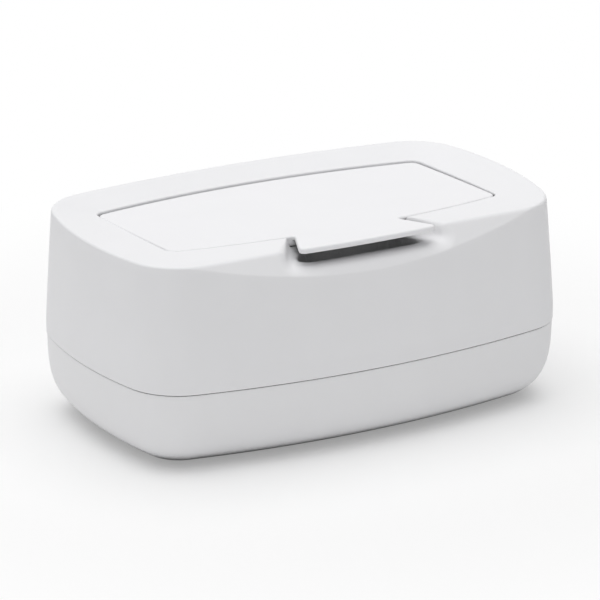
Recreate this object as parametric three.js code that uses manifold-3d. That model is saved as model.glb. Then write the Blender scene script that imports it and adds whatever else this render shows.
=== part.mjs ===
// Wipes box: base tray, upper housing with a dished deck, flip lid with a front tab, lid seal.
// Units are millimetres, +Z up, the long axis along X, the front towards -Y, the origin under the box.
import * as THREE from 'three';
import { toCreasedNormals } from 'three/addons/utils/BufferGeometryUtils.js';
import Module from 'manifold-3d';

const wasm = await Module();
wasm.setup();

// Overall shape
const widest = { a: 112.5, b: 70.4, sideR: 425.5, endR: 201, cornerR: 26.9, yc: 0 };
const draft = { a: 1.8, b: 6, yc: 0.8 };
const rimSideRatio = 1.375;
const rimEndRatio = 0.77;
const rim = {
  a: widest.a - draft.a,
  b: widest.b - draft.b,
  sideR: widest.sideR * rimSideRatio,
  endR: widest.endR * rimEndRatio,
  cornerR: widest.cornerR,
  yc: draft.yc,
};
const widestZ = 45.1;
const rimPlane = { z: 96.15, slope: 0.012 };
const rimRound = 1.2;

// Rounded lower body: how far the foot lies inside the widest outline,
// the power of the curve, and the share of its height at which it is cut flat
const footInset = { a: 45.5, b: 49.4 };
const profilePower = 3.77;
const footRatio = 0.98;
const leastCorner = 5;

// Walls and the joint between tray and housing
const trayWall = 1.8;
const trayFloor = 2;
const housingWall = 2;
const seamZ = 38.3;
const seamGap = 0.3;
const trayStep = 0.35;
const spigotGap = 0.35;
const spigotWall = 1.6;
const spigotTop = 44.6;
const beadZ = 41.9;
const beadRise = 0.6;
const beadFlat = 0.3;
const beadRun = 1;

// Lid, its recess in the deck, and the lid's top plane
const deckMargin = { a: 26.3, b: 19.8, yc: 2.6 };
const lidOutline = {
  a: rim.a - deckMargin.a,
  b: rim.b - deckMargin.b,
  sideR: 390,
  endR: 1275,
  cornerR: 5,
  yc: rim.yc + deckMargin.yc,
};
const lidDrop = 2.35;
const deckEdgeDrop = 1.85;
const lidPlane = { z: rimPlane.z - lidDrop, slope: -0.043 };
const deckEdgePlane = { z: rimPlane.z - deckEdgeDrop, slope: -0.0316 };
const lidGap = 0.8;
const lidPlate = 1.8;
const lidSkirt = 4.5;
const lidEdgeRound = 1;
const seatDrop = 4.8;
const recessRound = 0.8;
const seatLedge = 1.4;
const deckRows = 8;
const cavityRows = 4;

// Front facet: how far its straight upper edge lies behind the rim, and its slope
const facetSetback = 6.9;
const facetSlope = 1.5;
const facetRound = 1;
const facetY = rim.yc - rim.b + facetSetback;

// Finger scoop below the tab: a flared slot with a round bottom and a rounded lip
const lidFrontY = lidOutline.yc - lidOutline.b;
const scoop = {
  yBack: lidFrontY + 0.2,
  yFront: lidFrontY - 12.8,
  halfBack: 31,
  flareSlope: 0.56,
  cornerR: 4,
  floorDrop: 16,
  bottomR: 7,
};
const lipReach = { near: 3, far: 16 };
const lip = { backR: 0.4, frontR: 5.5, from: lidFrontY - lipReach.near, to: lidFrontY - lipReach.far };

// Tab on the lid
const tabReach = 20.6;
const tab = {
  root: 28.5,
  front: 35.6,
  yRoot: lidFrontY + 5.2,
  yFront: lidFrontY - tabReach,
  bow: 1.4,
  cornerR: 4,
  thick: 2.6,
  round: 0.7,
};

// Hinge: stub pins on the ends of the lid, and the well that the rear of the lid turns down into
const hinge = { y: lidOutline.yc + lidOutline.b - 14.5, drop: 3, pinR: 1, pinGap: 0.3, pinReach: 2.4 };
const well = { front: hinge.y - 4.2, depth: 19, ledge: 0.2 };

// Dispensing opening, its collar and the seal
const opening = { a: 50, b: 17, sideR: 240, endR: 24, cornerR: 12, yc: lidOutline.yc - 10.4 };
const collarOffset = 4;
const collarWall = 1.6;
const collarRise = 1.1;
const sealGap = 0.3;
const sealRise = 1.3;
const ribWall = 1;
const ribRise = 1;

// Points on each arc of an outline
const endSteps = 6;
const cornerSteps = 7;
const sideSteps = 8;
const frontSteps = 18;
const solveSteps = 30;
const pinSides = 24;
const creaseAngle = Math.PI / 7;
const reach = 140;

// Bowed rounded rectangle: side arcs, end arcs and corner arcs tangent to both, counter-clockwise
function outlinePoints(o, front = sideSteps) {
  const side = new THREE.Vector2(0, o.b - o.sideR);
  const end = new THREE.Vector2(o.a - o.endR, 0);
  const sideReach = o.sideR - o.cornerR;
  const endReach = o.endR - o.cornerR;
  const between = end.clone().sub(side);
  const d = between.length();
  const along = (d * d + sideReach * sideReach - endReach * endReach) / (2 * d);
  const across = Math.sqrt(Math.max(sideReach * sideReach - along * along, 0));
  const u = between.divideScalar(d);
  const corner = side.clone().addScaledVector(u, along);
  const left = new THREE.Vector2(-u.y, u.x);
  const first = corner.clone().addScaledVector(left, across);
  const second = corner.clone().addScaledVector(left, -across);
  const c = first.x + first.y > second.x + second.y ? first : second;
  const fromEnd = Math.atan2(c.y - end.y, c.x - end.x);
  const fromSide = Math.atan2(c.y - side.y, c.x - side.x);
  const quarter = (steps) => {
    const arcs = [
      { centre: end, r: o.endR, from: 0, to: fromEnd, steps: endSteps },
      { centre: c, r: o.cornerR, from: fromEnd, to: fromSide, steps: cornerSteps },
      { centre: side, r: o.sideR, from: fromSide, to: Math.PI / 2, steps },
    ];
    return arcs.flatMap((arc) => Array.from({ length: arc.steps }, (unused, i) => {
      const angle = arc.from + ((arc.to - arc.from) * i) / arc.steps;
      return [arc.centre.x + arc.r * Math.cos(angle), arc.centre.y + arc.r * Math.sin(angle)];
    }));
  };
  const half = (steps) => {
    const right = quarter(steps);
    return [...right, [0, o.b], ...right.slice().reverse().map(([x, y]) => [-x, y])];
  };
  const lower = half(front).slice(1, -1).reverse().map(([x, y]) => [x, -y]);
  return [...half(sideSteps), ...lower].map(([x, y]) => [x, y + o.yc]);
}

// Outline grown by a distance, or shrunk when it is negative; all arcs keep their centres
function grow(o, d) {
  return {
    a: o.a + d,
    b: o.b + d,
    sideR: o.sideR + d,
    endR: o.endR + d,
    cornerR: Math.max(o.cornerR + d, 0.6),
    yc: o.yc,
  };
}

function blendOutlines(p, q, t) {
  const mixed = {};
  for (const key of Object.keys(p)) {
    mixed[key] = p[key] + (q[key] - p[key]) * t;
  }
  return mixed;
}

// Outline of the body at a share of the height between the foot (1) and the widest level (0)
function lowerOutline(share) {
  const inward = 1 - (1 - share ** profilePower) ** (1 / profilePower);
  const da = footInset.a * inward;
  const db = footInset.b * inward;
  return {
    ...widest,
    a: widest.a - da,
    b: widest.b - db,
    cornerR: Math.max(widest.cornerR - 0.4 * (da + db), leastCorner),
  };
}

function planeAt(plane, y, drop) {
  return plane.z + plane.slope * y - drop;
}

// Rings of points: level, on a sloping plane, or part of the way up the tapered wall
function flatRing(points, z) {
  return points.map(([x, y]) => new THREE.Vector3(x, y, z));
}

function planeRing(points, plane, drop) {
  return points.map(([x, y]) => new THREE.Vector3(x, y, planeAt(plane, y, drop)));
}

function wallRing(share, inset, drop) {
  const points = outlinePoints(grow(blendOutlines(widest, rim, share), -inset), frontSteps);
  return points.map(([x, y]) => {
    const top = planeAt(rimPlane, y, drop);
    return new THREE.Vector3(x, y, widestZ + share * (top - widestZ));
  });
}

function toSolid(positions, faces) {
  const mesh = new wasm.Mesh({
    numProp: 3,
    vertProperties: new Float32Array(positions),
    triVerts: new Uint32Array(faces),
  });
  return new wasm.Manifold(mesh);
}

// Solid through a row of rings with the same number of points, closed by a fan at each end
function loft(rings) {
  const count = rings[0].length;
  const positions = [];
  const faces = [];
  for (const ring of rings) {
    for (const p of ring) {
      positions.push(p.x, p.y, p.z);
    }
  }
  for (let i = 0; i < rings.length - 1; i += 1) {
    for (let j = 0; j < count; j += 1) {
      const next = (j + 1) % count;
      const a = i * count + j;
      const b = i * count + next;
      const c = (i + 1) * count + next;
      const d = (i + 1) * count + j;
      faces.push(a, b, c, a, c, d);
    }
  }
  const caps = [
    { ring: rings[0], base: 0, turned: true },
    { ring: rings[rings.length - 1], base: (rings.length - 1) * count, turned: false },
  ];
  for (const cap of caps) {
    const centre = new THREE.Vector3();
    for (const p of cap.ring) {
      centre.addScaledVector(p, 1 / count);
    }
    const middle = positions.length / 3;
    positions.push(centre.x, centre.y, centre.z);
    for (let j = 0; j < count; j += 1) {
      const a = cap.base + j;
      const b = cap.base + ((j + 1) % count);
      faces.push(...(cap.turned ? [middle, b, a] : [middle, a, b]));
    }
  }
  return toSolid(positions, faces);
}

// Closed band between an outer and an inner outline, both between two drops below a plane
function band(outer, inner, plane, topDrop, bottomDrop) {
  const shell = loft([
    planeRing(outlinePoints(outer), plane, bottomDrop),
    planeRing(outlinePoints(outer), plane, topDrop),
  ]);
  const core = loft([
    planeRing(outlinePoints(inner), plane, bottomDrop + 1),
    planeRing(outlinePoints(inner), plane, topDrop - 1),
  ]);
  return shell.subtract(core);
}

// Part of an outline behind a given y
function behind(points, y) {
  const kept = [];
  points.forEach((p, i) => {
    const q = points[(i + 1) % points.length];
    if (p[1] >= y) {
      kept.push(p);
    }
    if ((p[1] >= y) !== (q[1] >= y)) {
      const t = (y - p[1]) / (q[1] - p[1]);
      kept.push([p[0] + (q[0] - p[0]) * t, y]);
    }
  });
  return kept;
}

// Polygon with its corners rounded, counter-clockwise
function roundedPolygon(corners, r, steps) {
  const points = [];
  corners.forEach((p, i) => {
    const at = new THREE.Vector2(...p);
    const before = new THREE.Vector2(...corners[(i + corners.length - 1) % corners.length]).sub(at);
    const after = new THREE.Vector2(...corners[(i + 1) % corners.length]).sub(at);
    const half = Math.acos(before.normalize().dot(after.normalize())) / 2;
    const centre = at.clone().addScaledVector(before.clone().add(after).normalize(), r / Math.sin(half));
    const start = at.clone().addScaledVector(before, r / Math.tan(half)).sub(centre);
    const turn = Math.PI - 2 * half;
    for (let k = 0; k <= steps; k += 1) {
      const q = start.clone().rotateAround(new THREE.Vector2(), (turn * k) / steps).add(centre);
      points.push([q.x, q.y]);
    }
  });
  return points;
}

// Distance of a point in front of the facet plane
function facetDistance(y, z) {
  const edgeZ = planeAt(rimPlane, facetY, 0);
  return (z - edgeZ - facetSlope * (y - facetY)) / Math.hypot(1, facetSlope);
}

// Larger of two distances, with the edge between them rounded; facing is the cosine between their slopes
function roundedMax(p, q, r, facing = 0) {
  const u = p + r;
  const v = q + r;
  if ((u <= 0 && v <= 0) || v <= u * facing || u <= v * facing) {
    return Math.max(p, q);
  }
  return Math.sqrt((u * u + v * v - 2 * u * v * facing) / (1 - facing * facing)) - r;
}

// Distance from a point to the air of the scoop, and how fast it falls towards +Y
function scoopAir(x, y, z) {
  const half = scoop.halfBack + scoop.flareSlope * (scoop.yBack - y);
  const run = Math.hypot(1, scoop.flareSlope);
  const side = (Math.abs(x) - half) / run;
  const front = scoop.yFront - y;
  const sidePart = Math.max(side + scoop.cornerR, 0);
  const frontPart = Math.max(front + scoop.cornerR, 0);
  const fall = (frontPart - (sidePart * scoop.flareSlope) / run) / Math.max(Math.hypot(sidePart, frontPart), 1);
  const plan = Math.max(roundedMax(side, front, scoop.cornerR), y - scoop.yBack);
  const floorZ = planeAt(rimPlane, facetY, scoop.floorDrop);
  return { distance: roundedMax(plan, floorZ - z, scoop.bottomR), fall };
}

// Height at which the skin below a point meets the facet or the scoop, both moved in by an offset
function carvedHeight(p, offset) {
  const share = THREE.MathUtils.clamp((lip.from - p.y) / (lip.from - lip.to), 0, 1);
  const lipR = Math.max(lip.backR + (lip.frontR - lip.backR) * share - offset, lip.backR);
  let low = widestZ;
  let high = p.z;
  for (let i = 0; i < solveSteps; i += 1) {
    const z = (low + high) / 2;
    const deck = z - p.z;
    const facet = facetDistance(p.y, z) + offset;
    const air = scoopAir(p.x, p.y, z);
    const onFacet = THREE.MathUtils.smoothstep(facet - deck, -facetRound, facetRound);
    const facing = (-onFacet * air.fall * facetSlope) / Math.hypot(1, facetSlope);
    const body = roundedMax(deck, facet, facetRound);
    if (roundedMax(body, offset - air.distance, lipR, facing) < 0) {
      low = z;
    } else {
      high = z;
    }
  }
  return (low + high) / 2;
}

function carve(ring, offset) {
  return ring.map((p) => {
    const reached = facetDistance(p.y, p.z) + offset > -2 * facetRound
      || scoopAir(p.x, p.y, p.z).distance < offset + 2 * lip.frontR;
    return reached ? new THREE.Vector3(p.x, p.y, Math.min(p.z, carvedHeight(p, offset))) : p;
  });
}

function pinPoints(r, drop) {
  const z = planeAt(lidPlane, hinge.y, drop);
  return (x) => Array.from({ length: pinSides }, (unused, i) => {
    const angle = (2 * Math.PI * i) / pinSides;
    return new THREE.Vector3(x, hinge.y + r * Math.cos(angle), z + r * Math.sin(angle));
  });
}

// Round rod along X between two stations
function rod(r, from, to) {
  const ringAt = pinPoints(r, hinge.drop);
  return loft([ringAt(from), ringAt(to)]);
}

function buildTray() {
  const levels = [footRatio, 0.93, 0.85, 0.75, 0.62, 0.48, 0.33, 0.2];
  const seamTop = seamZ - seamGap / 2;
  const outer = levels.map((share, i) => {
    const z = i === 0 ? 0 : widestZ * (1 - share);
    return flatRing(outlinePoints(grow(lowerOutline(share), -trayStep)), z);
  });
  const seamShare = 1 - seamTop / widestZ;
  const spigot = housingWall + spigotGap;
  const atSeam = lowerOutline(seamShare);
  const spigotRows = [
    [trayStep, seamTop],
    [spigot, seamTop],
    [spigot, beadZ - beadFlat - beadRun],
    [spigot - beadRise, beadZ - beadFlat],
    [spigot - beadRise, beadZ + beadFlat],
    [spigot, beadZ + beadFlat + beadRun],
    [spigot, spigotTop - 0.5],
    [spigot + 0.5, spigotTop],
  ];
  for (const [inset, z] of spigotRows) {
    outer.push(flatRing(outlinePoints(grow(atSeam, -inset)), z));
  }
  const inner = [footRatio, 0.9, 0.78, 0.64, 0.5, 0.36].map((share) => {
    const z = trayFloor + (widestZ - trayFloor) * (1 - share);
    return flatRing(outlinePoints(grow(lowerOutline(share), -trayStep - trayWall)), z);
  });
  const throat = spigot + spigotWall;
  for (const z of [seamTop - 2.5, spigotTop + 1]) {
    inner.push(flatRing(outlinePoints(grow(atSeam, -throat)), z));
  }
  return loft(outer).subtract(loft(inner));
}

const recess = grow(lidOutline, lidGap);

function blendRings(p, q, t) {
  return p.map((v, i) => v.clone().lerp(q[i], t));
}

function recessRing(growth, plane, drop) {
  return planeRing(outlinePoints(grow(recess, growth), frontSteps), plane, drop);
}

function housingOuter() {
  const rings = [];
  for (const z of [seamZ + seamGap / 2, (seamZ + widestZ) / 2]) {
    rings.push(flatRing(outlinePoints(lowerOutline(1 - z / widestZ), frontSteps), z));
  }
  for (const share of [0, 0.35, 0.68, 0.74, 0.8, 0.87, 0.94]) {
    rings.push(wallRing(share, 0, 0));
  }
  for (const degrees of [0, 30, 60, 90]) {
    const angle = THREE.MathUtils.degToRad(degrees);
    rings.push(wallRing(1, rimRound * (1 - Math.cos(angle)), rimRound * (1 - Math.sin(angle))));
  }
  const rimTop = rings[rings.length - 1];
  const deckEdge = recessRing(recessRound, deckEdgePlane, 0);
  for (let i = 1; i < deckRows; i += 1) {
    rings.push(blendRings(rimTop, deckEdge, i / deckRows));
  }
  for (const degrees of [90, 45, 0]) {
    const angle = THREE.MathUtils.degToRad(degrees);
    const growth = recessRound * (1 - Math.cos(angle));
    rings.push(recessRing(growth, deckEdgePlane, recessRound * (1 - Math.sin(angle))));
  }
  rings.push(recessRing(0, lidPlane, seatDrop));
  rings.push(recessRing(-seatLedge, lidPlane, seatDrop));
  return loft(rings.map((ring) => carve(ring, 0)));
}

function housingCavity() {
  const rings = [];
  const groove = [
    [housingWall, seamZ - 1],
    [housingWall, beadZ - beadFlat - beadRun],
    [housingWall - beadRise, beadZ - beadFlat],
    [housingWall - beadRise, beadZ + beadFlat],
    [housingWall, beadZ + beadFlat + beadRun],
  ];
  const lower = lowerOutline(1 - seamZ / widestZ);
  for (const [inset, z] of groove) {
    rings.push(flatRing(outlinePoints(grow(lower, -inset), frontSteps), z));
  }
  for (const share of [0.02, 0.6, 0.75, 0.9]) {
    rings.push(wallRing(share, housingWall, 0));
  }
  const under = wallRing(1, housingWall, housingWall + rimRound / 2);
  const turn = recessRing(housingWall, deckEdgePlane, housingWall + recessRound);
  rings.push(under);
  for (let i = 1; i < cavityRows; i += 1) {
    rings.push(blendRings(under, turn, i / cavityRows));
  }
  rings.push(turn);
  rings.push(recessRing(housingWall, lidPlane, seatDrop + housingWall));
  rings.push(recessRing(0, lidPlane, seatDrop + housingWall));
  rings.push(recessRing(-housingWall - seatLedge, lidPlane, seatDrop + housingWall));
  return loft(rings.map((ring) => carve(ring, housingWall)));
}

function wellBlock(outline, front, topDrop, depth) {
  const points = behind(outlinePoints(outline), front);
  return loft([planeRing(points, lidPlane, depth), planeRing(points, lidPlane, topDrop)]);
}

function buildHousing() {
  const wellOutline = grow(recess, -well.ledge);
  const wellShell = wellBlock(
    grow(recess, housingWall), well.front - housingWall, seatDrop - 0.1, well.depth + housingWall,
  );
  const cavity = housingCavity().subtract(wellShell);
  const throat = loft([
    planeRing(outlinePoints(opening), lidPlane, seatDrop + housingWall + 1),
    planeRing(outlinePoints(opening), lidPlane, seatDrop - collarRise - 1),
  ]);
  const collar = band(
    grow(opening, collarOffset), grow(opening, collarOffset - collarWall),
    lidPlane, seatDrop - collarRise, seatDrop + 0.5,
  );
  const eye = rod(hinge.pinR + hinge.pinGap, -reach, reach);
  const eyeLimit = rod(reach / 4, -lidOutline.a - 3.5, lidOutline.a + 3.5);
  return housingOuter()
    .subtract(wellBlock(wellOutline, well.front, seatDrop - 0.5, well.depth))
    .subtract(cavity)
    .add(collar)
    .subtract(throat)
    .subtract(eye.intersect(eyeLimit));
}

function buildLid() {
  const shell = [
    planeRing(outlinePoints(lidOutline), lidPlane, lidSkirt),
    planeRing(outlinePoints(lidOutline), lidPlane, lidEdgeRound),
    planeRing(outlinePoints(grow(lidOutline, -0.3 * lidEdgeRound)), lidPlane, 0.3 * lidEdgeRound),
    planeRing(outlinePoints(grow(lidOutline, -lidEdgeRound)), lidPlane, 0),
  ];
  const inside = outlinePoints(grow(lidOutline, -lidPlate));
  const hollow = loft([
    planeRing(inside, lidPlane, lidSkirt + 1),
    planeRing(inside, lidPlane, lidPlate),
  ]);
  const tabRing = (inset, drop) => {
    const corners = [
      [-tab.front + inset, tab.yFront + tab.bow + inset],
      [0, tab.yFront + inset],
      [tab.front - inset, tab.yFront + tab.bow + inset],
      [tab.root - inset, tab.yRoot],
      [-tab.root + inset, tab.yRoot],
    ];
    return planeRing(roundedPolygon(corners, tab.cornerR, 5), lidPlane, drop);
  };
  const tabSolid = loft([
    tabRing(tab.round, tab.thick),
    tabRing(0, tab.thick - tab.round),
    tabRing(0, tab.round),
    tabRing(tab.round, 0.02),
  ]);
  const sealSeat = grow(opening, collarOffset);
  const ribs = [
    band(grow(sealSeat, ribWall + sealGap), grow(sealSeat, sealGap), lidPlane, lidPlate - 0.3, lidPlate + ribRise),
    band(
      grow(sealSeat, -collarWall - sealGap), grow(sealSeat, -collarWall - sealGap - ribWall),
      lidPlane, lidPlate - 0.3, lidPlate + ribRise,
    ),
  ];
  const pinEnd = lidOutline.a + hinge.pinReach;
  const pinRoot = lidOutline.a - lidPlate - 1;
  return loft(shell)
    .subtract(hollow)
    .add(tabSolid)
    .add(ribs[0])
    .add(ribs[1])
    .add(rod(hinge.pinR, pinRoot, pinEnd))
    .add(rod(hinge.pinR, -pinEnd, -pinRoot));
}

function buildSeal() {
  const seat = grow(opening, collarOffset);
  const top = lidPlate + sealGap;
  return band(seat, grow(seat, -collarWall), lidPlane, top, top + sealRise);
}

function toMesh(name, solid, look) {
  const data = solid.getMesh();
  const geometry = new THREE.BufferGeometry();
  geometry.setAttribute('position', new THREE.BufferAttribute(new Float32Array(data.vertProperties), 3));
  geometry.setIndex(new THREE.BufferAttribute(new Uint32Array(data.triVerts), 1));
  const mesh = new THREE.Mesh(toCreasedNormals(geometry, creaseAngle), new THREE.MeshStandardMaterial(look));
  mesh.name = name;
  return mesh;
}

const box = new THREE.Group();
box.name = 'wipes_box';
box.add(toMesh('base_tray', buildTray(), { color: 0xeeeef0, roughness: 0.5, metalness: 0 }));
box.add(toMesh('upper_housing', buildHousing(), { color: 0xeeeef0, roughness: 0.48, metalness: 0 }));
box.add(toMesh('flip_lid', buildLid(), { color: 0xf0eff2, roughness: 0.46, metalness: 0 }));
box.add(toMesh('lid_seal', buildSeal(), { color: 0xe2e4e6, roughness: 0.7, metalness: 0 }));

export default box;
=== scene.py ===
import math

import bmesh
import bpy
import numpy as np
from mathutils import Matrix, Vector


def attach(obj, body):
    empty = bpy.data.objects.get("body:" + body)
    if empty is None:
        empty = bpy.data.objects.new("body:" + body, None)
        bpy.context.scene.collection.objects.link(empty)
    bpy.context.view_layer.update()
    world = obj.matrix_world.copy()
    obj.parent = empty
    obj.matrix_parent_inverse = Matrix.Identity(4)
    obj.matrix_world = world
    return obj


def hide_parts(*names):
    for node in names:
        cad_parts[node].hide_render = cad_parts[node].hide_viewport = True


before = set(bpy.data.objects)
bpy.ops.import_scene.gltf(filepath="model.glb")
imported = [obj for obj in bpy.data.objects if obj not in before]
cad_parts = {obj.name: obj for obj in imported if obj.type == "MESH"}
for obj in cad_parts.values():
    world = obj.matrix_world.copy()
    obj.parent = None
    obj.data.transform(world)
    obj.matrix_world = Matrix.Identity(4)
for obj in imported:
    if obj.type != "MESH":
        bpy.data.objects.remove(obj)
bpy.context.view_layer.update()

MM = 0.001

# Shape, in millimetres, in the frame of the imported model; outlines and planes of the shells first
WIDEST = dict(a=112.5, b=70.4, sideR=425.5, endR=201.0, cornerR=26.9, yc=0.0)
RIM = dict(a=110.7, b=64.4, sideR=585.0, endR=154.8, cornerR=26.8, yc=0.8)
WIDEST_Z = 45.1
RIM_PLANE = (96.15, 0.012)
FOOT = dict(a=45.5, b=49.4)
POWER = 3.77
LEAST_CORNER = 0.6
FOOT_CORNER = 5
CORNER_LOSS = 0.4
SEAM_Z = 38.3
SEAM_GAP = 0.3
TRAY_STEP = 0.35
LID = dict(a=84.4, b=44.6, sideR=390.0, endR=1275.0, cornerR=5.0, yc=3.4)
LID_PLANE = (93.8, -0.043)
DECK_PLANE = (94.3, -0.0316)
LID_GAP = 0.8
SEAT_DROP = 4.8

# Front facet, the scoop's void below the tab, and the dished notch around it
FACET_Y = -56.7
FACET_SLOPE = 1.5
FACET_ROUND = 1.0
SCOOP = dict(y_back=-40.5, y_front=-54.5, half_back=22.0, flare=1.0, corner=9.0, floor=79.47,
             bottom_r=7.0)
DISH = dict(half_back=28.2, flare=0.66, lean=0.35, crest=88.0, side_rise=0.3, front_fall=0.08,
            bottom_r=2.5)
DISH_EDGE = dict(r_back=0.4, r_more=2.6, y_from=-44, y_run=12)
VOID_EDGE = dict(r_back=0.4, r_more=1.4, y_from=-42, y_run=8)
LEAST_EDGE = 0.3
FLOOR_RUN = 1.08
# Points that are carved: above and before these levels, and this close to the facet or the notch
CARVED_ABOVE = 60.0
CARVED_BEFORE = -30.0
NEAR_FACET, NEAR_DISH = 2, 7
CARVE_STEPS = 40

# Walls, seat, well and opening of the housing, and the tray that fits in from below
WELL_Y = 29.3
WELL_DEPTH = 19.0
WALL = 2.0
OPENING = dict(a=50.0, b=17.0, sideR=240.0, endR=24.0, cornerR=12.0, yc=-7.0)
RIM_ROUND = 1.2
RECESS_ROUND = 0.8
COLLAR = 4.0
COLLAR_WALL = 1.6
COLLAR_RISE = 1.1
COLLAR_ROUND = 0.25
FOOT_FROM, FOOT_SHARE = 0.8, 0.98
FOOT_SETTLE, FLOOR_SETTLE = 0.9, 0.86
TRAY_WALL = 1.8
TRAY_FLOOR = 2.0
SPIGOT = WALL + 0.35
SPIGOT_WALL = 1.6
SPIGOT_TOP = 44.6
# Heights of the snap bead, and of the groove that takes it
BEAD = (40.6, 41.6, 42.2, 43.2)
BEAD_RISE = 0.6

# Lid: tab, plate, skirt, ribs, seal and hinge pins
TAB = dict(root=25.2, y_root=-37.5, front=35.6, y_front=-61.8, bow=1.4)
TAB_BOW_HALF = 26
TAB_CORNER = 2.6
TAB_ROOT_ROUND = 1.2
TAB_THICK = 2.6
TAB_UNDER_ROUND = 0.7
PLATE = 1.8
PLATE_ROUND = 1.0
SKIRT = 4.5
SKIRT_WALL = 1.8
RIBS = (1.3, -1.9)
RIB = 2.8
RIB_WALL = 1.0
SEAL_FROM, SEAL_TO = 2.1, 3.4
SEAL_WIDTH = 1.6
HINGE_Y = 33.5
PIN_R = 1.0
PIN_DROP = 3.0
PIN_LENGTH = 0.7
# The tab joins the front edge where that edge is this near to the middle; points beside it go
LID_FRONT_Y = -30
EDGE_NEAR_TAB = 31
EDGE_CLEARED = 3

# Points along each arc of an outline; on a long front they lie closest beside the finger scoop
END_STEPS = 30
CORNER_STEPS = 22
REAR_STEPS = 40
FRONT_STEPS = (14, 60, 36)
DENSE_FROM, DENSE_TO = 46, 26
LONG_FRONT = 60
DECK_RINGS = 46
BOW_POINTS = 25
ARC_POINTS = 10
PIN_SIDES = 32
MERGE = 2e-6

# Camera, fitted to the photograph: degrees, millimetres and pixels
VIEW = dict(azimuth=-29.98, elevation=18.86, roll=-0.13, distance=1896.1, target_z=48.91)
FRAME_PX = 600
FOCAL_PX = 4163.5
CENTRE_PX = (300.97, 300.69)
SENSOR = 36.0

# Floor, in metres
FLOOR_HALF = 3.0


# Outlines and rings
def grow(o, d):
    """Outline moved out by a distance."""
    r = dict(o)
    for key in ("a", "b", "sideR", "endR"):
        r[key] += d
    r["cornerR"] = max(r["cornerR"] + d, LEAST_CORNER)
    return r


def mix(p, q, t):
    """Outline between two outlines."""
    return {key: p[key] + (q[key] - p[key]) * t for key in p}


def arcs(o):
    """Centres of an outline's side, end and corner arcs, and the corner arc's two angles."""
    side, end = np.array([0, o["b"] - o["sideR"]]), np.array([o["a"] - o["endR"], 0])
    reach_s, reach_e = o["sideR"] - o["cornerR"], o["endR"] - o["cornerR"]
    d = np.linalg.norm(end - side)
    along = (d * d + reach_s ** 2 - reach_e ** 2) / (2 * d)
    across = math.sqrt(max(reach_s ** 2 - along ** 2, 0))
    u = (end - side) / d
    v = np.array([-u[1], u[0]])
    foot = side + along * u
    c = max((foot + across * v, foot - across * v), key=lambda p: p[0] + p[1])
    t_end = math.atan2(c[1] - end[1], c[0] - end[0])
    t_side = math.atan2(c[1] - side[1], c[0] - side[0])
    return side, end, c, t_end, t_side


def arc_points(centre, r, angles):
    return [(centre[0] + r * math.cos(t), centre[1] + r * math.sin(t)) for t in angles]


def outline(o):
    """Points of a bowed rounded rectangle, counter-clockwise from its +X end."""
    side, end, c, t_end, t_side = arcs(o)
    turn = arc_points(end, o["endR"], np.linspace(0, t_end, END_STEPS, endpoint=False))
    turn += arc_points(c, o["cornerR"], np.linspace(t_end, t_side, CORNER_STEPS, endpoint=False))
    to_middle = np.linspace(t_side, math.pi / 2, REAR_STEPS, endpoint=False)
    rear = turn + arc_points(side, o["sideR"], to_middle)
    x_start = o["sideR"] * math.cos(t_side)
    if x_start > LONG_FRONT:
        marks = (x_start, DENSE_FROM, DENSE_TO, 0)
        parts = zip(marks, marks[1:], FRONT_STEPS)
        xs = np.concatenate([np.linspace(a, b, count, endpoint=False) for a, b, count in parts])
    else:
        xs = np.linspace(x_start, 0, sum(FRONT_STEPS), endpoint=False)
    front = turn + arc_points(side, o["sideR"], np.arccos(xs / o["sideR"]))
    rear, front = np.array(rear), np.array(front)
    upper = np.vstack([rear, [[0, o["b"]]], rear[::-1] * [-1, 1]])
    lower = np.vstack([front, [[0, o["b"]]], front[::-1] * [-1, 1]])[1:-1][::-1] * [1, -1]
    return np.vstack([upper, lower]) + [0, o["yc"]]


def plane(p, y, drop=0.0):
    return p[0] + p[1] * y - drop


def ring(o, z):
    xy = outline(o)
    height = z(xy[:, 1]) if callable(z) else np.full(len(xy), float(z))
    return np.column_stack([xy, height])


def on_plane(o, p, drop=0.0):
    return ring(o, lambda y: plane(p, y, drop))


def lower_outline(share):
    """Outline of the rounded lower body at a share of the way down from its widest level."""
    inward = 1 - (1 - share ** POWER) ** (1 / POWER)
    da, db = FOOT["a"] * inward, FOOT["b"] * inward
    corner = max(WIDEST["cornerR"] - CORNER_LOSS * (da + db), FOOT_CORNER)
    return dict(WIDEST, a=WIDEST["a"] - da, b=WIDEST["b"] - db, cornerR=corner)


def wall_ring(share, inset=0.0, drop=0.0):
    """Ring on the tapered wall at a share of the way up from its widest level to the rim."""
    o = grow(mix(WIDEST, RIM, share), -inset)
    return ring(o, lambda y: WIDEST_Z + share * (plane(RIM_PLANE, y, drop) - WIDEST_Z))


def between(first, last, count):
    """Rings between two rings, both left out."""
    return [first + (last - first) * (k / (count + 1)) for k in range(1, count + 1)]


def round_steps(radius, first, last, count):
    """Steps around a rounded edge between two angles: how far in, and how far down."""
    angles = np.radians(np.linspace(first, last, count))
    return [(radius * (1 - math.cos(a)), radius * (1 - math.sin(a))) for a in angles]


# Front facet and finger scoop, as signed distances that are negative in the air
def facet_gap(y, z):
    """Distance in front of the sloped facet."""
    edge = plane(RIM_PLANE, FACET_Y)
    return (z - edge - FACET_SLOPE * (y - FACET_Y)) / math.hypot(1, FACET_SLOPE)


def round_max(p, q, r):
    """Larger of two distances, with the edge between them rounded."""
    u, v = p + r, q + r
    flat = (u <= 0) | (v <= 0)
    return np.where(flat, np.maximum(p, q), np.hypot(u, v) - r)


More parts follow.
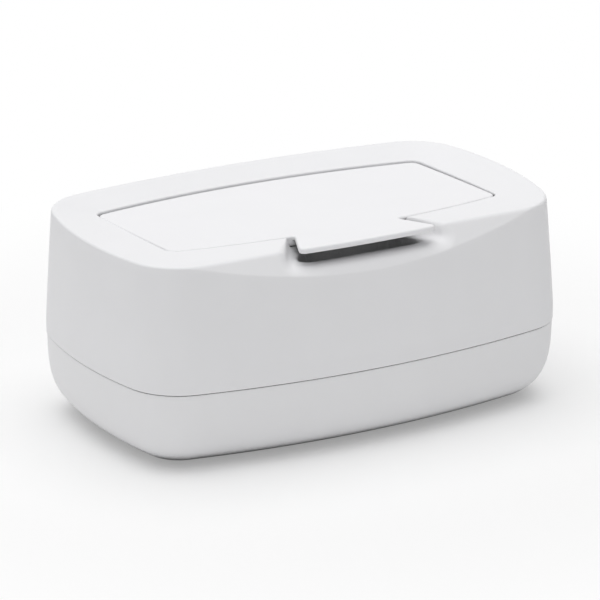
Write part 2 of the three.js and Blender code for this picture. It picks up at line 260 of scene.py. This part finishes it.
def scoop_plan(x, y):
    """Distance to the outline of the scoop's void, with the side and front shares of its slope."""
    s = SCOOP
    run = math.hypot(1, s["flare"])
    side = (np.abs(x) - s["half_back"] - s["flare"] * (s["y_back"] - y)) / run
    front = s["y_front"] - y
    side_part, front_part = np.maximum(side + s["corner"], 0), np.maximum(front + s["corner"], 0)
    size = np.maximum(np.hypot(side_part, front_part), 1)
    return round_max(side, front, s["corner"]), side_part / size, front_part / size


def behind_scoop(x, y):
    """How far a point lies behind the scoop, whose rear follows the bow of the lid's front edge."""
    return y - SCOOP["y_back"] - x * x / (2 * LID["sideR"])


def void_air(x, y, z):
    """Distance to the air of the void below the tab."""
    plan = np.maximum(scoop_plan(x, y)[0], behind_scoop(x, y))
    return round_max(plan, SCOOP["floor"] - z, SCOOP["bottom_r"])


def dish_air(x, y, z):
    """Distance to the air of the dished notch around the void, which is open to the front."""
    d = DISH
    away, side, front = scoop_plan(x, y)
    floor = d["crest"] + np.maximum(away, 0) * (d["side_rise"] * side - d["front_fall"] * front)
    half = d["half_back"] + d["flare"] * (SCOOP["y_back"] - y) + d["lean"] * (z - d["crest"])
    wall = (np.abs(x) - half) / math.hypot(1, d["flare"])
    return round_max(np.maximum(wall, behind_scoop(x, y)), (floor - z) / FLOOR_RUN, d["bottom_r"])


def edge_radius(edge, y, offset):
    """Radius of a rounded edge, which grows towards the front."""
    share = np.clip((edge["y_from"] - y) / edge["y_run"], 0, 1)
    return np.maximum(edge["r_back"] + edge["r_more"] * share - offset, LEAST_EDGE)


def carve(points, offset=0.0):
    """Lowers the shell's points onto the facet and into the scoop, all moved in by an offset."""
    idx = np.nonzero((points[:, 1] < CARVED_BEFORE) & (points[:, 2] > CARVED_ABOVE))[0]
    x, y, top = points[idx].T
    edge, lip = edge_radius(DISH_EDGE, y, offset), edge_radius(VOID_EDGE, y, offset)
    low, high = np.full(len(x), CARVED_ABOVE), top.copy()
    for _ in range(CARVE_STEPS):
        z = (low + high) / 2
        shell = round_max(z - top, facet_gap(y, z) + offset, FACET_ROUND)
        shell = round_max(shell, offset - dish_air(x, y, z), edge)
        inside = round_max(shell, offset - void_air(x, y, z), lip) < 0
        low, high = np.where(inside, z, low), np.where(inside, high, z)
    out = points.copy()
    near = (facet_gap(y, top) + offset > -NEAR_FACET) | (dish_air(x, y, top) < offset + NEAR_DISH)
    out[idx, 2] = np.where(near, np.minimum(top, (low + high) / 2), top)
    return out


# Meshes
def add_object(name, data):
    obj = bpy.data.objects.new(name, data)
    bpy.context.collection.objects.link(obj)
    return obj


def mesh_object(name, verts, faces, material):
    mesh = bpy.data.meshes.new(name)
    mesh.from_pydata([tuple(v) for v in np.asarray(verts) * MM], [], faces)
    mesh.validate()
    mesh.update()
    for polygon in mesh.polygons:
        polygon.use_smooth = True
    mesh.materials.append(material)
    return add_object(name, mesh)


def skin(rings, loop=False):
    """Vertices and faces of a closed skin through rings, which is capped or joined to a loop."""
    n, count = len(rings[0]), len(rings)
    verts = [p for r in rings for p in r]
    faces = []
    for i in range(count if loop else count - 1):
        k = (i + 1) % count
        for j in range(n):
            m = (j + 1) % n
            faces.append((i * n + j, i * n + m, k * n + m, k * n + j))
    if not loop:
        faces.append(tuple(range(n - 1, -1, -1)))
        faces.append(tuple(range((count - 1) * n, count * n)))
    return verts, faces


def merge_points(obj, distance):
    bm = bmesh.new()
    bm.from_mesh(obj.data)
    bmesh.ops.remove_doubles(bm, verts=bm.verts, dist=distance)
    bm.to_mesh(obj.data)
    bm.free()


def place(obj, body, node, sharp_degrees):
    """Marks the sharp edges of a piece, and puts it on its body in place of its node."""
    obj.data.set_sharp_from_angle(angle=math.radians(sharp_degrees))
    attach(obj, body)
    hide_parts(node)


# Materials
def add_node(tree, kind, values=None, **settings):
    """New shader node, with its inputs' values by name and its own settings."""
    made = tree.nodes.new(kind)
    for key, value in settings.items():
        setattr(made, key, value)
    for key, value in (values or {}).items():
        made.inputs[key].default_value = value
    return made


def plastic(name, colour, rough, grain=1.0):
    """Moulded plastic: faint cloudy tint, a painted highlight on its edges, painted shade in deep
    slots, a fine satin grain.
    """
    m = bpy.data.materials.new(name)
    m.use_nodes = True
    tree = m.node_tree
    link = tree.links.new
    bsdf = tree.nodes["Principled BSDF"]
    coord = add_node(tree, "ShaderNodeTexCoord")
    cloud = add_node(tree, "ShaderNodeTexNoise", {"Scale": 38.0, "Detail": 3.0})
    fine = add_node(tree, "ShaderNodeTexNoise", {"Scale": 2600.0, "Detail": 2.0})
    for texture in (cloud, fine):
        link(coord.outputs["Object"], texture.inputs["Vector"])
    tint = add_node(tree, "ShaderNodeValToRGB")
    first, last = tint.color_ramp.elements
    first.position, last.position = 0.3, 0.7
    first.color = (*[c * 0.985 for c in colour], 1)
    last.color = (*colour, 1)
    link(cloud.outputs["Fac"], tint.inputs["Fac"])

    geometry = add_node(tree, "ShaderNodeNewGeometry")
    # Painted highlight: convex edges, found by pointiness, get a brighter colour where light would
    # catch them
    painted_edge_highlight = add_node(tree, "ShaderNodeMapRange",
                    {"From Min": 0.53, "From Max": 0.62, "To Max": 0.35})
    link(geometry.outputs["Pointiness"], painted_edge_highlight.inputs["Value"])
    edge_colour = (*[min(c * 1.04, 1) for c in colour], 1)
    brighter = add_node(tree, "ShaderNodeMixRGB", {"Color2": edge_colour})
    link(painted_edge_highlight.outputs["Result"], brighter.inputs["Fac"])
    link(tint.outputs["Color"], brighter.inputs["Color1"])

    # Painted shade: the colour is darkened where ambient occlusion finds deep slots and recesses,
    # such as the void under the tab
    shade = add_node(tree, "ShaderNodeAmbientOcclusion", {"Distance": 0.02}, samples=8)
    painted_shade_amount = add_node(tree, "ShaderNodeMapRange", {"From Min": 0.15, "From Max": 0.28, "To Min": 0.1})
    link(shade.outputs["AO"], painted_shade_amount.inputs["Value"])
    deep = add_node(tree, "ShaderNodeMixRGB", {"Fac": 1.0}, blend_type="MULTIPLY")
    link(brighter.outputs["Color"], deep.inputs["Color1"])
    link(painted_shade_amount.outputs["Result"], deep.inputs["Color2"])
    link(deep.outputs["Color"], bsdf.inputs["Base Color"])

    uneven = add_node(tree, "ShaderNodeMapRange", {"To Min": rough - 0.05, "To Max": rough + 0.05})
    link(cloud.outputs["Fac"], uneven.inputs["Value"])
    link(uneven.outputs["Result"], bsdf.inputs["Roughness"])
    bump = add_node(tree, "ShaderNodeBump", {"Strength": 0.08 * grain, "Distance": 0.00005})
    link(fine.outputs["Fac"], bump.inputs["Height"])
    link(bump.outputs["Normal"], bsdf.inputs["Normal"])
    bsdf.inputs["Specular IOR Level"].default_value = 0.35
    return m


WHITE = plastic("white_shell", (0.86, 0.86, 0.875), 0.5)
WHITE_TRAY = plastic("white_tray", (0.86, 0.86, 0.872), 0.52)
WHITE_LID = plastic("white_lid", (0.87, 0.868, 0.885), 0.48)
SOFT = plastic("soft_seal", (0.72, 0.73, 0.74), 0.7, grain=2.0)


# Upper housing: one closed skin, up the outside, over the deck and the seat, and down the inside
def sunk(o, front, shallow, deep, back=math.inf):
    """Ring on the seat, cut off at its back, which lies deeper behind the front of the well."""
    xy = outline(o)
    y = np.minimum(xy[:, 1], back)
    return np.column_stack([xy[:, 0], y, plane(LID_PLANE, y, np.where(y > front, deep, shallow))])


def build_housing():
    bottom = SEAM_Z + SEAM_GAP / 2
    low = lower_outline(1 - SEAM_Z / WIDEST_Z)
    lip = ((WALL, 0.3), (WALL - 0.3, 0), (0.35, 0), (0.1, 0.1), (0, 0.35))
    first = [ring(grow(low, -d), bottom + rise) for d, rise in lip]
    outer = [ring(lower_outline(1 - z / WIDEST_Z), z) for z in (40.0, 42.0, 43.6)]
    shares = (0, 0.06, 0.14, 0.25, 0.4, 0.55, 0.66, 0.7, 0.73, 0.76, 0.79, 0.82, 0.85, 0.88, 0.91,
              0.94, 0.965)
    outer += [wall_ring(share) for share in shares]
    outer += [wall_ring(1, d, drop) for d, drop in round_steps(RIM_ROUND, 0, 90, 8)]
    recess = grow(LID, LID_GAP)
    rounds = round_steps(RECESS_ROUND, 90, 0, 7)
    edge = [on_plane(grow(recess, d), DECK_PLANE, drop) for d, drop in rounds]
    outer += between(outer[-1], edge[0], DECK_RINGS) + edge
    well = (WELL_Y, SEAT_DROP, WELL_DEPTH)
    seat = sunk(recess, *well)
    outer += between(edge[-1], seat, 6) + [seat]
    outer.append(sunk(grow(recess, -0.25), *well, back=WELL_Y + 0.02))
    for d in (0.6, 1.0, 1.3, 1.46, 1.54, 1.7, 2.1, 2.7, 3.3):
        outer.append(sunk(grow(recess, -d), *well, back=WELL_Y + 0.6 - d))
    around = on_plane(grow(OPENING, COLLAR), LID_PLANE, SEAT_DROP)
    outer += between(outer[-1], around, 8) + [around]
    outer = list(carve(np.vstack(outer)).reshape(-1, len(around), 3))
    rise, inner_side = SEAT_DROP - COLLAR_RISE, COLLAR - COLLAR_WALL
    under = SEAT_DROP + WALL
    collar = ((COLLAR, rise + COLLAR_ROUND), (COLLAR - COLLAR_ROUND, rise),
              (inner_side + COLLAR_ROUND, rise), (inner_side, rise + COLLAR_ROUND),
              (inner_side, SEAT_DROP), (0.5, SEAT_DROP), (0.15, SEAT_DROP + 0.15),
              (0, SEAT_DROP + 0.5), (0, under))
    outer += [on_plane(grow(OPENING, d), LID_PLANE, drop) for d, drop in collar]

    wide = grow(recess, WALL)
    below = (WELL_Y - WALL, under, WELL_DEPTH + WALL)
    ceiling = sunk(grow(wide, -0.06), WELL_Y, under, under, back=WELL_Y - WALL)
    inner = between(outer[-1], ceiling, 8) + [ceiling]
    inner.append(sunk(grow(wide, -0.03), *below, back=WELL_Y - WALL + 0.02))
    inner.append(sunk(wide, *below))
    turn = on_plane(wide, DECK_PLANE, WALL + RECESS_ROUND)
    inner += between(inner[-1], turn, 3) + [turn]
    rim = wall_ring(1, WALL, WALL + RIM_ROUND / 2)
    inner += between(turn, rim, 16) + [rim]
    shares = (0.95, 0.9, 0.85, 0.8, 0.75, 0.7, 0.6, 0.4, 0.2, 0.02)
    inner += [wall_ring(share, WALL) for share in shares]
    groove = (WALL, WALL - BEAD_RISE, WALL - BEAD_RISE, WALL)
    inner += [ring(grow(low, -d), z) for d, z in zip(groove, BEAD[::-1])]
    inner = list(carve(np.vstack(inner), WALL).reshape(-1, len(around), 3))
    obj = mesh_object("housing", *skin(first + outer + inner, loop=True), WHITE)
    merge_points(obj, MERGE)
    return obj


place(build_housing(), "box", "upper_housing", 50)


# Base tray: rounded lower shell with a spigot inside the housing
def settled(share, depth):
    """How far the lowest part of the shell is pulled down to its flat foot."""
    return depth * max((share - FOOT_FROM) / (FOOT_SHARE - FOOT_FROM), 0) ** 2


def build_tray():
    seam = SEAM_Z - SEAM_GAP / 2
    low = lower_outline(1 - seam / WIDEST_Z)
    foot = lower_outline(FOOT_SHARE)
    shares = (FOOT_SHARE, 0.974, 0.965, 0.95, 0.93, 0.905, 0.875, 0.84, 0.8, 0.76, 0.71, 0.66, 0.6,
              0.54, 0.48, 0.42, 0.36, 0.3, 0.24, 0.2, 0.172)
    outer = [ring(grow(foot, -TRAY_STEP - d), 0) for d in (6, 4.5)]
    for share in shares:
        z = max(WIDEST_Z * (1 - share) - settled(share, FOOT_SETTLE) - 0.001, 0)
        outer.append(ring(grow(lower_outline(share), -TRAY_STEP), z))
    crest = SPIGOT - BEAD_RISE
    steps = ((TRAY_STEP, seam - 0.35), (TRAY_STEP + 0.1, seam - 0.1), (TRAY_STEP + 0.35, seam),
             (SPIGOT, seam), (SPIGOT, BEAD[0]), (crest, BEAD[1]), (crest, BEAD[2]),
             (SPIGOT, BEAD[3]), (SPIGOT, SPIGOT_TOP - 0.5), (SPIGOT + 0.5, SPIGOT_TOP),
             (SPIGOT + SPIGOT_WALL - 0.3, SPIGOT_TOP), (SPIGOT + SPIGOT_WALL, SPIGOT_TOP - 0.3),
             (SPIGOT + SPIGOT_WALL, seam - 2.5))
    outer += [ring(grow(low, -d), z) for d, z in steps]
    shares = (0.2, 0.28, 0.36, 0.44, 0.52, 0.6, 0.68, 0.75, 0.81, 0.86, 0.9, 0.935, 0.96, 0.975,
              FOOT_SHARE)
    for share in shares:
        z = TRAY_FLOOR + (WIDEST_Z - TRAY_FLOOR) * (1 - share) - settled(share, FLOOR_SETTLE)
        outer.append(ring(grow(lower_outline(share), -TRAY_STEP - TRAY_WALL), z))
    outer += [ring(grow(foot, -TRAY_STEP - TRAY_WALL - d), TRAY_FLOOR) for d in (1.5, 4)]
    return mesh_object("tray", *skin(outer), WHITE_TRAY)


place(build_tray(), "box", "base_tray", 35)


# Flip lid: plate with a tab, skirt, seal ribs and stub pins, with the soft seal beneath
def rounded(points, radii):
    """Polygon with its corners turned into arcs."""
    out = []
    n = len(points)
    for i, (p, r) in enumerate(zip(points, radii)):
        p = np.array(p, float)
        if r == 0:
            out.append(p)
            continue
        a, b = np.array(points[i - 1], float) - p, np.array(points[(i + 1) % n], float) - p
        a, b = a / np.linalg.norm(a), b / np.linalg.norm(b)
        half = math.acos(np.clip(a @ b, -1, 1)) / 2
        reach = r / math.tan(half)
        mid = (a + b) / np.linalg.norm(a + b)
        centre = p + mid * r / math.sin(half)
        start, stop = p + a * reach - centre, p + b * reach - centre
        t0, t1 = math.atan2(start[1], start[0]), math.atan2(stop[1], stop[0])
        t1 = t0 + (t1 - t0 + math.pi) % (2 * math.pi) - math.pi
        out += arc_points(centre, r, np.linspace(t0, t1, ARC_POINTS))
    return np.array([tuple(p) for p in out])


def tab_front():
    """Corners and bowed front edge of the tab, with the radius of each point."""
    corner_y = TAB["y_front"] + TAB["bow"]
    xs = np.linspace(-TAB_BOW_HALF, TAB_BOW_HALF, BOW_POINTS)
    bow = [(x, TAB["y_front"] + TAB["bow"] * (x / TAB["front"]) ** 2) for x in xs]
    points = [(-TAB["front"], corner_y), *bow, (TAB["front"], corner_y)]
    return points, [TAB_CORNER] + [0] * BOW_POINTS + [TAB_CORNER]


def tab_outline():
    points, radii = tab_front()
    root = (TAB["root"], TAB["y_root"])
    return rounded([(-root[0], root[1]), *points, root], [0, *radii, 0])


def lid_outline():
    """Outline of the lid with its tab, which takes the place of the middle of the front edge."""
    plain = outline(LID)
    run = (TAB["front"] - TAB["root"]) / (TAB["y_root"] - TAB["y_front"] - TAB["bow"])
    near_tab = (plain[:, 1] < LID_FRONT_Y) & (np.abs(plain[:, 0]) < EDGE_NEAR_TAB)
    edge_y = plain[near_tab][:, 1].max()
    joint = TAB["root"] + run * (TAB["y_root"] - edge_y)
    kept = [tuple(p) for p in plain if p[1] >= LID_FRONT_Y or abs(p[0]) >= joint + EDGE_CLEARED]
    split = next(i for i, p in enumerate(kept) if p[1] < LID_FRONT_Y and p[0] > 0)
    front, radii = tab_front()
    points = kept[:split] + [(-joint, edge_y), *front, (joint, edge_y)] + kept[split:]
    radii = [TAB_ROOT_ROUND, *radii, TAB_ROOT_ROUND]
    return rounded(points, [0] * split + radii + [0] * (len(kept) - split))


def inset(points, d):
    """Closed outline moved in along its own normals."""
    before, after = points - np.roll(points, 1, 0), np.roll(points, -1, 0) - points
    before /= np.linalg.norm(before, axis=1)[:, None]
    after /= np.linalg.norm(after, axis=1)[:, None]
    along = before + after
    along /= np.linalg.norm(along, axis=1)[:, None]
    return points + np.column_stack([-along[:, 1], along[:, 0]]) * d


def lid_ring(points, drop):
    return np.column_stack([points, plane(LID_PLANE, points[:, 1], drop)])


def lid_rings(o, steps):
    """Rings parallel to the lid: how far out of an outline, and how far below the lid's top."""
    return [on_plane(grow(o, d), LID_PLANE, drop) for d, drop in steps]


def add_shell(store, rings, loop=False):
    verts, faces = skin(rings, loop)
    start = len(store[0])
    store[0].extend(verts)
    store[1].extend(tuple(i + start for i in f) for f in faces)


def build_lid():
    store = ([], [])
    # The shells of tab, skirt and ribs begin inside the plate
    root = PLATE - 0.1
    whole, tab = lid_outline(), tab_outline()
    top = [lid_ring(inset(whole, 1.5), 0)]
    top += [lid_ring(inset(whole, d), drop) for d, drop in round_steps(PLATE_ROUND, 90, 0, 8)]
    top.append(lid_ring(whole, PLATE))
    add_shell(store, top[::-1])
    under = [lid_ring(inset(tab, 0.05), root), lid_ring(tab, PLATE + 0.01)]
    for d, rise in round_steps(TAB_UNDER_ROUND, 0, 90, 6):
        under.append(lid_ring(inset(tab, d), TAB_THICK - rise))
    under.append(lid_ring(inset(tab, 1.2), TAB_THICK))
    add_shell(store, under[::-1])
    skirt = ((-SKIRT_WALL, root), (-SKIRT_WALL, SKIRT - 0.3), (0.3 - SKIRT_WALL, SKIRT),
             (-0.3, SKIRT), (-0.05, SKIRT - 0.1), (0, SKIRT - 0.3), (0, PLATE + 0.01),
             (-0.05, root))
    add_shell(store, lid_rings(LID, skirt), loop=True)
    for wide in RIBS:
        rib = ((wide - RIB_WALL, root), (wide - RIB_WALL, RIB - 0.2), (wide - RIB_WALL + 0.2, RIB),
               (wide - 0.2, RIB), (wide, RIB - 0.2), (wide, root))
        add_shell(store, lid_rings(grow(OPENING, COLLAR), rib), loop=True)
    pin_z = plane(LID_PLANE, HINGE_Y, PIN_DROP)
    turns = np.linspace(0, 2 * math.pi, PIN_SIDES, endpoint=False)
    steps = ((-SKIRT_WALL - 1, PIN_R), (PIN_LENGTH - 0.15, PIN_R), (PIN_LENGTH, PIN_R - 0.15))
    for side in (-1, 1):
        pin = []
        for x, r in steps:
            xs = np.full(PIN_SIDES, side * (LID["a"] + x))
            ys, zs = HINGE_Y + r * np.cos(turns), pin_z + r * np.sin(turns)
            pin.append(np.column_stack([xs, ys, zs]))
        add_shell(store, pin if side > 0 else pin[::-1])
    return mesh_object("lid", *store, WHITE_LID)


place(build_lid(), "lid", "flip_lid", 35)


def build_seal():
    steps = ((0, SEAL_FROM), (0, SEAL_TO - 0.3), (-0.1, SEAL_TO - 0.1), (-0.4, SEAL_TO),
             (0.4 - SEAL_WIDTH, SEAL_TO), (0.1 - SEAL_WIDTH, SEAL_TO - 0.1),
             (-SEAL_WIDTH, SEAL_TO - 0.3), (-SEAL_WIDTH, SEAL_FROM))
    rings = lid_rings(grow(OPENING, COLLAR), steps)
    return mesh_object("seal", *skin(rings[::-1], loop=True), SOFT)


place(build_seal(), "lid", "lid_seal", 50)


# Camera
def camera():
    az, el, roll = (math.radians(VIEW[key]) for key in ("azimuth", "elevation", "roll"))
    back = Vector((math.sin(az) * math.cos(el), -math.cos(az) * math.cos(el), math.sin(el)))
    right = Vector((math.cos(az), math.sin(az), 0))
    up = back.cross(right)
    c, s = math.cos(roll), math.sin(roll)
    right, up = right * c - up * s, right * s + up * c
    data = bpy.data.cameras.new("camera")
    data.sensor_width = SENSOR
    data.lens = FOCAL_PX / FRAME_PX * SENSOR
    data.shift_x = (FRAME_PX / 2 - CENTRE_PX[0]) / FRAME_PX
    data.shift_y = (CENTRE_PX[1] - FRAME_PX / 2) / FRAME_PX
    data.clip_start, data.clip_end = 0.05, 20
    pose = Matrix((right, up, back)).transposed().to_4x4()
    pose.translation = Vector((0, 0, VIEW["target_z"] * MM)) + back * (VIEW["distance"] * MM)
    obj = add_object("camera", data)
    obj.matrix_world = pose
    bpy.context.scene.camera = obj


camera()


# Floor, light and background
def floor():
    """White floor that keeps a soft shadow near the box, and fades to pure white for the camera."""
    verts = [(x * FLOOR_HALF, y * FLOOR_HALF, 0) for x, y in ((-1, -1), (1, -1), (1, 1), (-1, 1))]
    mesh = bpy.data.meshes.new("floor")
    mesh.from_pydata(verts, [], [(0, 1, 2, 3)])
    m = bpy.data.materials.new("floor_white")
    m.use_nodes = True
    tree = m.node_tree
    link = tree.links.new
    bsdf = tree.nodes["Principled BSDF"]
    bsdf.inputs["Base Color"].default_value = (0.96, 0.96, 0.96, 1)
    bsdf.inputs["Roughness"].default_value = 0.9
    coord = add_node(tree, "ShaderNodeTexCoord")
    away = add_node(tree, "ShaderNodeVectorMath", operation="LENGTH")
    link(coord.outputs["Object"], away.inputs[0])
    far = add_node(tree, "ShaderNodeMapRange", {"From Min": 0.15, "From Max": 0.33, "To Min": 0.3},
                   interpolation_type="SMOOTHSTEP")
    link(away.outputs["Value"], far.inputs["Value"])
    path = add_node(tree, "ShaderNodeLightPath")
    seen = add_node(tree, "ShaderNodeMath", operation="MULTIPLY")
    link(far.outputs["Result"], seen.inputs[0])
    link(path.outputs["Is Camera Ray"], seen.inputs[1])
    glow = add_node(tree, "ShaderNodeEmission")
    blend = add_node(tree, "ShaderNodeMixShader")
    link(seen.outputs["Value"], blend.inputs["Fac"])
    link(bsdf.outputs["BSDF"], blend.inputs[1])
    link(glow.outputs["Emission"], blend.inputs[2])
    link(blend.outputs["Shader"], tree.nodes["Material Output"].inputs["Surface"])
    mesh.materials.append(m)
    obj = add_object("floor", mesh)


floor()


def lamp(name, location, target, size, watts):
    data = bpy.data.lights.new(name, "AREA")
    data.shape = "DISK"
    data.size = size
    data.energy = watts
    obj = add_object(name, data)
    obj.location = location
    obj.rotation_mode = "QUATERNION"
    obj.rotation_quaternion = (Vector(target) - Vector(location)).to_track_quat("-Z", "Y")


lamp("lamp_top", (0, 0.1, 1.5), (0, 0, 0.05), 1.6, 13.5)


def surroundings():
    """World that is white where it is seen, and lights the object more weakly from the +X side."""
    world = bpy.data.worlds.new("world")
    world.use_nodes = True
    bpy.context.scene.world = world
    tree = world.node_tree
    link = tree.links.new
    path = add_node(tree, "ShaderNodeLightPath")
    seen = add_node(tree, "ShaderNodeMath", operation="MAXIMUM")
    link(path.outputs["Is Camera Ray"], seen.inputs[0])
    link(path.outputs["Is Transmission Ray"], seen.inputs[1])
    either = add_node(tree, "ShaderNodeMath", operation="MAXIMUM")
    link(seen.outputs["Value"], either.inputs[0])
    link(path.outputs["Is Glossy Ray"], either.inputs[1])
    sky = add_node(tree, "ShaderNodeTexCoord")
    axes = add_node(tree, "ShaderNodeSeparateXYZ")
    link(sky.outputs["Generated"], axes.inputs["Vector"])
    ends = add_node(tree, "ShaderNodeMapRange", {"From Min": 0.1, "To Min": 0.55, "To Max": 0.2})
    link(axes.outputs["X"], ends.inputs["Value"])
    strength = add_node(tree, "ShaderNodeMapRange")
    link(either.outputs["Value"], strength.inputs["Value"])
    link(ends.outputs["Result"], strength.inputs["To Min"])
    background = tree.nodes["Background"]
    background.inputs["Color"].default_value = (1, 1, 1, 1)
    link(strength.outputs["Result"], background.inputs["Strength"])


surroundings()
bpy.context.scene.view_settings.view_transform = "Standard"
